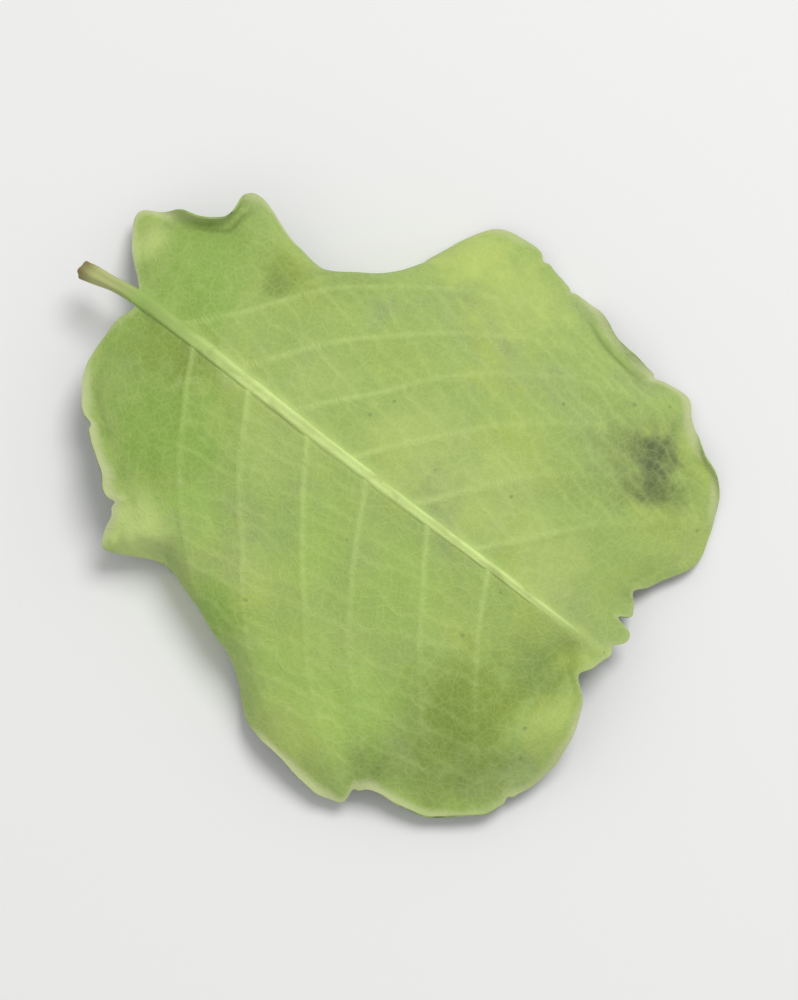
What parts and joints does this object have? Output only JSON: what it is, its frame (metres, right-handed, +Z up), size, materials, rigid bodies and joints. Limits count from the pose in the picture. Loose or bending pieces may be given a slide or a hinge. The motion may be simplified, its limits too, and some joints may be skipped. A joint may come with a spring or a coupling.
{
  "type": "moringa leaf",
  "caption": "Dried moringa leaflet lying underside up: an arched blade with a notched, curled margin, a midrib, side veins and a short stalk.",
  "frame": {"origin": "middle of the leaf's box, on the surface that the leaf lies on", "axes": "+Z up, out of the pale underside; +Y along the midrib from the tip to the stalk; +X to the right of that, seen from above"},
  "size_m": [0.0236, 0.028, 0.0043],
  "materials": {
    "leaf": "matte"
  },
  "bodies": {
    "root": {"leaf": "leaf"}
  },
  "joints": []
}
